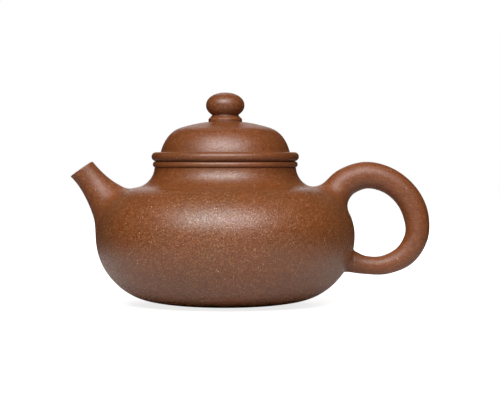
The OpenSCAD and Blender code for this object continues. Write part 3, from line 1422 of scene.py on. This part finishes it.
class Nodes:
    """Short words for the nodes of one material or world."""

    def __init__(self, owner: bpy.types.Material | bpy.types.World) -> None:
        """Takes over a node tree and empties it.

        Args:
            owner: The material or world that the nodes are for.
        """
        owner.use_nodes = True
        self.tree = owner.node_tree
        self.tree.nodes.clear()

    def new(
        self, kind: str, inputs: dict[str | int, object] | None = None, **settings: object
    ) -> bpy.types.bpy_prop_collection:
        """Adds a node.

        Args:
            kind: Type of the node.
            inputs: For the name or number of an input, a plain value or an output to link.
            settings: The node's own settings.

        Returns:
            The node's outputs.
        """
        node = self.tree.nodes.new(kind)
        for name, value in settings.items():
            setattr(node, name, value)
        for name, value in (inputs or {}).items():
            if isinstance(value, Socket):
                self.tree.links.new(value, node.inputs[name])
            else:
                node.inputs[name].default_value = value
        return node.outputs

    def scaled_place(self, factor: float) -> Socket:
        """Place on the object, times a factor."""
        place = self.new("ShaderNodeTexCoord")["Object"]
        return self.new("ShaderNodeVectorMath", {0: place, "Scale": factor}, operation="SCALE")["Vector"]

    def noise(self, place: Socket, scale: float, detail: float) -> Socket:
        """Smooth noise from 0 to 1 with a number of features to a millimetre."""
        inputs = {"Vector": place, "Scale": scale, "Detail": detail}
        return self.new("ShaderNodeTexNoise", inputs)["Fac"]

    def math(self, operation: str, a: Socket | float, b: Socket | float) -> Socket:
        """Arithmetic of two values."""
        return self.new("ShaderNodeMath", {0: a, 1: b}, operation=operation)[0]

    def total(self, start: float, *parts: tuple[Socket, float]) -> Socket:
        """Adds up values, each with a weight.

        Args:
            start: What the sum starts from.
            parts: The values with their weights.

        Returns:
            The sum.
        """
        for value, weight in parts:
            start = self.math("ADD", start, self.math("MULTIPLY", value, weight))
        return start

    def stretched(self, value: Socket, low: float, high: float) -> Socket:
        """Value mapped smoothly so that low becomes 0 and high becomes 1."""
        inputs = {"Value": value, "From Min": low, "From Max": high}
        return self.new("ShaderNodeMapRange", inputs, interpolation_type="SMOOTHSTEP")["Result"]

    def mix(self, factor: Socket, first: Tint, second: Tint, share: float = 1.0) -> Socket:
        """Mixes two colours.

        Args:
            factor: Where the second colour shows.
            first: The colour where it doesn't.
            second: The colour to mix in.
            share: How much of it to mix in where it shows in full.

        Returns:
            The mixed colour.
        """
        if share != 1.0:
            factor = self.math("MULTIPLY", factor, share)
        return self.new("ShaderNodeMix", {"Factor": factor, 6: first, 7: second}, data_type="RGBA")[2]

    def cells(self, place: Socket, scale: float) -> tuple[Socket, bpy.types.bpy_prop_collection]:
        """Distance from the middle of each packed cell, and three chance numbers for the cell."""
        cell = self.new("ShaderNodeTexVoronoi", {"Vector": place, "Scale": scale})
        return cell["Distance"], self.new("ShaderNodeSeparateColor", {"Color": cell["Color"]})

    def grains(self, place: Socket, cells: float, flattest: float = 0.5) -> tuple[Socket, Socket, Socket]:
        """Packed grains of mixed tone.

        Args:
            place: Place in millimetres.
            cells: Number of grains to a millimetre.
            flattest: Height of the flattest grain, where the tallest has 1 more.

        Returns:
            A chance number for each grain, its rounded height, and another chance number.
        """
        distance, chance = self.cells(place, cells)
        dome = self.math("SUBTRACT", 1.0, self.math("POWER", distance, 2.0))
        height = self.math("MULTIPLY", dome, self.math("ADD", chance["Green"], flattest))
        return chance["Red"], height, chance["Blue"]

    def sand(self, place: Socket, specks: Specks, chosen: float) -> tuple[Socket, Socket]:
        """Scattered grains of sand, most of them faint.

        Args:
            place: Place in millimetres.
            specks: The kind of sand.
            chosen: Share of the cells that hold a grain.

        Returns:
            The mask of the grains, and their colour.
        """
        distance, chance = self.cells(place, specks.cells)
        size = self.total(specks.smallest, (chance["Green"], 1 - specks.smallest))
        size = self.math("MULTIPLY", size, specks.radius)
        disc = self.stretched(self.math("SUBTRACT", size, distance), 0.0, specks.radius * specks.blur)
        strength = self.stretched(chance["Red"], chosen, 0.0)
        tint = self.mix(chance["Blue"], linear(specks.brown), linear(specks.cream))
        return self.math("MULTIPLY", disc, strength), tint

    def hollow(self, reach: float, samples: int = 8) -> Socket:
        """Share of a hollow by occlusion, used for painted shade: 0 on an open surface and 1 deep in a
        groove.

        Args:
            reach: Width of the grooves that count, in metres.
            samples: Number of rays that feel for the groove's sides.

        Returns:
            The share.
        """
        open_share = self.new("ShaderNodeAmbientOcclusion", {"Distance": reach}, samples=samples)["AO"]
        return self.stretched(open_share, low=0.85, high=0.35)

    def crest_wear_and_highlight(self) -> Socket:
        """Share of a crest, paled for wear and as a painted highlight: 0 on a flat or wide curve and 1 on a
        crest.
        """
        return self.stretched(self.new("ShaderNodeNewGeometry")["Pointiness"], low=0.508, high=0.530)

    def bump(self, height: Socket) -> Socket:
        """Normal of a height given in millimetres."""
        inputs = {"Height": height, "Strength": 1.0, "Distance": MM}
        return self.new("ShaderNodeBump", inputs)["Normal"]


@dataclass(frozen=True)
class Clay:
    """Unglazed fired clay: packed grains of mixed tone, with fine pale sand among them.

    Args:
        tone: Main colour.
        warm: Redder colour that drifts through it in clouds.
        deep: Colour of the darkest grains and of the gaps.
        pale: Colour of the lightest grains.
        roughness: Roughness of the smoothed surface.
        contrast: How much the grains differ in tone, from 0 to 1.
        relief: Height of the grains, in millimetres.
        peel: Height of the coarser unevenness, in millimetres.
        polish: How much the grains differ in roughness.
        sand: Amount of sand, from 0 to 1.
        crevice_shade: How much darker its hollows are painted, as painted shade.
        sheen: Strength of its reflections, where 0.5 is plain glass.
        wear_and_painted_highlight: How much paler its crests are, for wear where hands and lid rub them and
            as a painted highlight.
        groove: Width of the hollows that get painted shade, in millimetres.
        matting: How much rougher the shaded hollows are.
        unevenness: How much the roughness drifts.
        deep_share: How dark the darkest grains are, as a share of the contrast.
        pale_share: How pale the lightest grains are, as a share of the contrast.
        fine_share: How dark the finest mottling is, as a share of the contrast.
        drift_share: How dark the slowly drifting patches are.
        fine_relief: Height of the finest mottling, as a share of the relief.
        kinds: The kinds of sand in it.
    """

    tone: Shown
    warm: Shown
    deep: Shown
    pale: Shown
    roughness: float = 0.50
    contrast: float = 0.85
    relief: float = 0.045
    peel: float = 0.05
    polish: float = 0.20
    sand: float = 0.40
    crevice_shade: float = 0.85
    sheen: float = 0.87
    wear_and_painted_highlight: float = 0.0
    groove: float = 1.8
    matting: float = 0.25
    unevenness: float = 0.10
    deep_share: float = 0.60
    pale_share: float = 0.70
    fine_share: float = 0.25
    drift_share: float = 0.12
    fine_relief: float = 0.30
    kinds: tuple[Specks, ...] = (Specks(1.55, 1.0, 0.26, 0.020), Specks(0.50, 0.25, 0.14, 0.025))

    def material(self, name: str) -> bpy.types.Material:
        """Builds the material's nodes.

        Args:
            name: Name of the material.

        Returns:
            The new material.
        """
        material = bpy.data.materials.new(name)
        n = Nodes(material)
        tone, warm, deep, pale = map(linear, (self.tone, self.warm, self.deep, self.pale))
        place = n.scaled_place(1 / MM)
        cloud = n.noise(place, scale=0.055, detail=2.0)
        drift = n.noise(place, scale=0.45, detail=3.0)
        lumps = n.noise(place, scale=0.80, detail=1.0)
        fine = n.noise(place, scale=3.8, detail=1.0)
        grain, dome, polish = n.grains(place, cells=3.0)
        sands = [n.sand(place, kind, self.sand * kind.share) for kind in self.kinds]
        # Occlusion finds the hollows, which get painted shade in the colour and more roughness.
        hollow = n.hollow(self.groove * MM)
        layers = (
            (n.stretched(cloud, low=0.35, high=0.65), warm, 1.0),
            (n.stretched(grain, low=0.35, high=0.0), deep, self.contrast * self.deep_share),
            (n.stretched(grain, low=0.60, high=1.0), pale, self.contrast * self.pale_share),
            (n.stretched(fine, low=0.60, high=0.36), deep, self.contrast * self.fine_share),
            (n.stretched(drift, low=0.56, high=0.34), deep, self.drift_share),
            *((mask, tint, 1.0) for mask, tint in sands),
            # Crests are paled partly for wear and partly as a painted highlight.
            (n.crest_wear_and_highlight(), pale, self.wear_and_painted_highlight),
            # Painted shade: the hollows are darkened towards the deep colour.
            (hollow, deep, self.crevice_shade),
        )
        colour = tone
        for where, tint, share in layers:
            colour = n.mix(where, colour, tint, share)
        height = n.total(
            0.0, (dome, self.relief), (lumps, self.peel), (fine, self.relief * self.fine_relief),
            *((mask, kind.height) for (mask, _), kind in zip(sands, self.kinds)),
        )
        smoothest = self.roughness - (self.unevenness + self.polish) / 2
        rough = n.total(smoothest, (drift, self.unevenness), (polish, self.polish), (hollow, self.matting))
        shader = n.new("ShaderNodeBsdfPrincipled", {
            "Base Color": colour, "Roughness": rough, "Normal": n.bump(height),
            "IOR": 1.5, "Specular IOR Level": self.sheen,
        })
        n.new("ShaderNodeOutputMaterial", {"Surface": shader["BSDF"]})
        return material


NECK = Clay(
    (122, 67, 28), (129, 66, 23), (83, 38, 13), (186, 126, 80),
    roughness=0.38, contrast=0.45, relief=0.034, polish=0.22, sand=0.45,
)
CLAYS = {
    Finish.BODY: Clay(
        (122, 67, 27), (129, 66, 21), (82, 37, 12), (188, 132, 88),
        roughness=0.38, contrast=0.66, polish=0.30, sand=0.90,
    ),
    Finish.NECK: NECK,
    Finish.LIP: replace(NECK, roughness=0.40, relief=0.030, sand=0.40, wear_and_painted_highlight=0.20),
    Finish.RUBBED: Clay(
        (123, 67, 29), (130, 66, 24), (84, 39, 14), (184, 122, 76),
        roughness=0.49, contrast=0.50, relief=0.030, polish=0.15, sand=0.35, sheen=0.74,
    ),
    Finish.LID: Clay(
        (119, 65, 28), (126, 64, 23), (82, 38, 13), (184, 122, 76),
        roughness=0.40, contrast=0.50, relief=0.034, polish=0.24, sand=0.40, wear_and_painted_highlight=0.18,
    ),
    Finish.INSIDE: Clay((118, 68, 36), (124, 68, 32), (78, 41, 20), (168, 108, 64), roughness=0.62),
}


# ---------------------------------------------------------------------------
# Studio
# ---------------------------------------------------------------------------


def turned_to(place: Place, aim: Place) -> Place:
    """Rotation that points a camera or a lamp at something.

    Args:
        place: Where the camera or lamp is.
        aim: The point it faces.

    Returns:
        The turns about X, Y and Z.
    """
    x, y, z = np.subtract(aim, place)
    return math.atan2(math.hypot(x, y), -z), 0.0, math.atan2(-x, y)


def oblong(left: float, front: float, right: float, back: float, z: float = 0.0) -> list[Place]:
    """Corners of a level rectangle, seen from above counter-clockwise from the front left."""
    return [(left, front, z), (right, front, z), (right, back, z), (left, back, z)]


@dataclass(frozen=True)
class SoftBox:
    """A soft box.

    Args:
        name: Name of the lamp.
        place: Where its middle is.
        aim: The point it faces.
        size: Its width and height.
        power: Its power in watts.
        sheen: Whether the clay's sheen mirrors it.
    """

    name: str
    place: Place
    aim: Place
    size: Point
    power: float
    sheen: bool = True

    def hang(self) -> None:
        """Hangs the lamp in the scene."""
        data = bpy.data.lights.new(self.name, "AREA")
        data.shape = "RECTANGLE"
        data.size, data.size_y = self.size
        data.energy = self.power
        thing = put(self.name, data)
        thing.location = self.place
        thing.rotation_euler = turned_to(self.place, self.aim)
        thing.visible_glossy = self.sheen


@dataclass(frozen=True)
class Studio:
    """Floor, lamps, white surroundings and camera."""

    camera_place: Place = (0.0093, -0.700, 0.0570)
    camera_aim: Place = (0.0093, 0.0, 0.03926)
    seen_width: float = 0.188
    sensor: float = 36.0
    nearest: float = 0.01
    floor_half: float = 3.0
    floor_grey: float = 0.61
    felt_grey: float = 0.03
    lamps: tuple[SoftBox, ...] = (
        SoftBox("front_box", (-0.055, -0.565, 0.655), (0, 0, 0.04), (0.95, 0.47), 10.3),
        SoftBox("back_fill", (0.10, 0.80, 0.32), (0, 0, 0.03), (1.00, 0.40), 5.0, sheen=False),
    )

    def camera(self) -> None:
        """Sets the camera, almost level with the lid, so that it sees seen_width at its aim."""
        data = bpy.data.cameras.new("camera")
        data.sensor_width = self.sensor
        data.lens = self.sensor * math.dist(self.camera_place, self.camera_aim) / self.seen_width
        data.clip_start = self.nearest
        thing = put("camera", data)
        thing.location = self.camera_place
        thing.rotation_euler = turned_to(self.camera_place, self.camera_aim)
        bpy.context.scene.camera = thing

    @staticmethod
    def sheet(name: str, points: list[Place], faces: list[tuple[int, ...]]) -> bpy.types.Object:
        """Adds a thin sheet to the scene.

        Args:
            name: Its name.
            points: Its corners.
            faces: Its faces, as indices into the corners.

        Returns:
            The new object.
        """
        mesh = bpy.data.meshes.new(name)
        mesh.from_pydata(points, [], faces)
        return put(name, mesh)

    def floor(self) -> None:
        """Lays the plain pale floor."""
        h = self.floor_half
        thing = self.sheet("floor", oblong(-h, -h, h, h), [(0, 1, 2, 3)])
        thing.data.materials.append(self.floor_paint())

    def floor_paint(self, near: float = 0.80, far: float = 0.99) -> bpy.types.Material:
        """Pale paint that keeps shadows and glows towards the camera.

        Args:
            near: Strength of the glow around the pot, where the lamps light the floor.
            far: Strength further off, which lifts the floor to the backdrop's white.

        Returns:
            The new material.
        """
        material = bpy.data.materials.new("pale_floor")
        n = Nodes(material)
        grey = self.floor_grey
        paint = n.new("ShaderNodeBsdfDiffuse", {"Color": (grey, grey, grey, 1)})
        away = n.new("ShaderNodeVectorMath", {0: n.scaled_place(1.0)}, operation="LENGTH")
        glow = n.total(near, (n.stretched(away["Value"], low=0.10, high=0.75), far - near))
        seen = n.math("MULTIPLY", n.new("ShaderNodeLightPath")["Is Camera Ray"], glow)
        light = n.new("ShaderNodeEmission", {"Color": WHITE, "Strength": seen})
        both = n.new("ShaderNodeAddShader", {0: paint["BSDF"], 1: light["Emission"]})
        n.new("ShaderNodeOutputMaterial", {"Surface": both["Shader"]})
        return material

    def felt(self, name: str, points: list[Place], faces: list[tuple[int, ...]], diffuse: bool) -> None:
        """Hangs dark felt that the camera doesn't see and that casts no shadow.

        Args:
            name: Name of the cloth.
            points: Its corners.
            faces: Its faces, as indices into the corners.
            diffuse: Whether it also takes the light that the floor would throw back.
        """
        grey = self.felt_grey
        material = bpy.data.materials.new(name)
        material.use_nodes = True
        shader = material.node_tree.nodes["Principled BSDF"]
        shader.inputs["Base Color"].default_value = (grey, grey, grey, 1)
        shader.inputs["Roughness"].default_value = 1.0
        shader.inputs["Specular IOR Level"].default_value = 0.0
        thing = self.sheet(name, points, faces)
        thing.data.materials.append(material)
        thing.visible_camera = False
        thing.visible_diffuse = diffuse
        thing.visible_shadow = False
        thing.visible_transmission = False

    def room(
        self, away: float = 1.6, behind: float = 90.0, window: float = 12.0, window_top: float = 54.0,
        turn: int = 8, rise: int = 6,
    ) -> None:
        """Closes the studio with a dark shell that only the clay's sheen can see.

        It leaves the white backdrop open behind the pot.

        Args:
            away: Radius of the shell.
            behind: Direction of the middle of the open part, in degrees from +X.
            window: Half the width of the open part, in degrees.
            window_top: Height of the open part, in degrees.
            turn: Width of a face, in degrees.
            rise: Height of a face, in degrees.
        """
        around, up = range(0, 360, turn), range(0, 90 + rise, rise)
        points = [(*(away * flat * ray(a)), away * high) for a in around for flat, high in map(ray, up)]
        faces = []
        for i, a in enumerate(around):
            for k, e in enumerate(up[:-1]):
                if abs(a + turn / 2 - behind) < window and e < window_top:
                    continue
                first, second = i * len(up) + k, (i + 1) % len(around) * len(up) + k
                faces.append((first, second, second + 1, first + 1))
        self.felt("dark_shell", points, faces, diffuse=False)

    def table(
        self, side: float = 0.12, front: float = 0.60, back: float = 0.13, lift: float = 0.0005
    ) -> None:
        """Covers the floor around a pale table top that runs towards the camera.

        Args:
            side: Half the width of the table top.
            front: How far it runs towards the camera.
            back: How far it runs behind the pot.
            lift: Height of the cover over the floor.
        """
        h = self.floor_half
        points = oblong(-h, -h, h, h, lift) + oblong(-side, -front, side, back, lift)
        faces = [(i, (i + 1) % 4, (i + 1) % 4 + 4, i + 4) for i in range(4)]
        self.felt("dark_cloth", points, faces, diffuse=True)

    @staticmethod
    def surroundings(strength: float = 0.08) -> None:
        """Makes the world white to the camera and in reflections, and softer as a light.

        Args:
            strength: How strongly it lights the scene.
        """
        world = bpy.data.worlds.new("white_room")
        bpy.context.scene.world = world
        n = Nodes(world)
        rays = n.new("ShaderNodeLightPath")
        seen = n.math("MAXIMUM", rays["Is Camera Ray"], rays["Is Glossy Ray"])
        seen = n.math("MAXIMUM", seen, rays["Is Transmission Ray"])
        glow = n.total(strength, (seen, 1 - strength))
        background = n.new("ShaderNodeBackground", {"Color": WHITE, "Strength": glow})
        n.new("ShaderNodeOutputWorld", {"Surface": background["Background"]})

    def set_up(self) -> None:
        """Sets the whole studio."""
        bpy.context.scene.view_settings.view_transform = "Standard"
        self.camera()
        self.floor()
        self.room()
        self.table()
        for box in self.lamps:
            box.hang()
        self.surroundings()


# ---------------------------------------------------------------------------
# Assembly
# ---------------------------------------------------------------------------


def main() -> None:
    """Builds the teapot piece by piece, then the studio around it."""
    logging.basicConfig(level=logging.INFO, format="%(name)s: %(message)s")
    materials = {finish: clay.material("brown_clay_" + finish.value) for finish, clay in CLAYS.items()}
    shop = Workshop(HandWork(), materials)
    pot = PotBody()
    for part in (pot, Spout(pot), Handle(pot), Lid(pot)):
        for thing in part.pieces(shop):
            LOG.info("%s of the %s: %d faces", thing.name, type(part).__name__, len(thing.data.polygons))
    Studio().set_up()


if __name__ == "__main__":
    main()
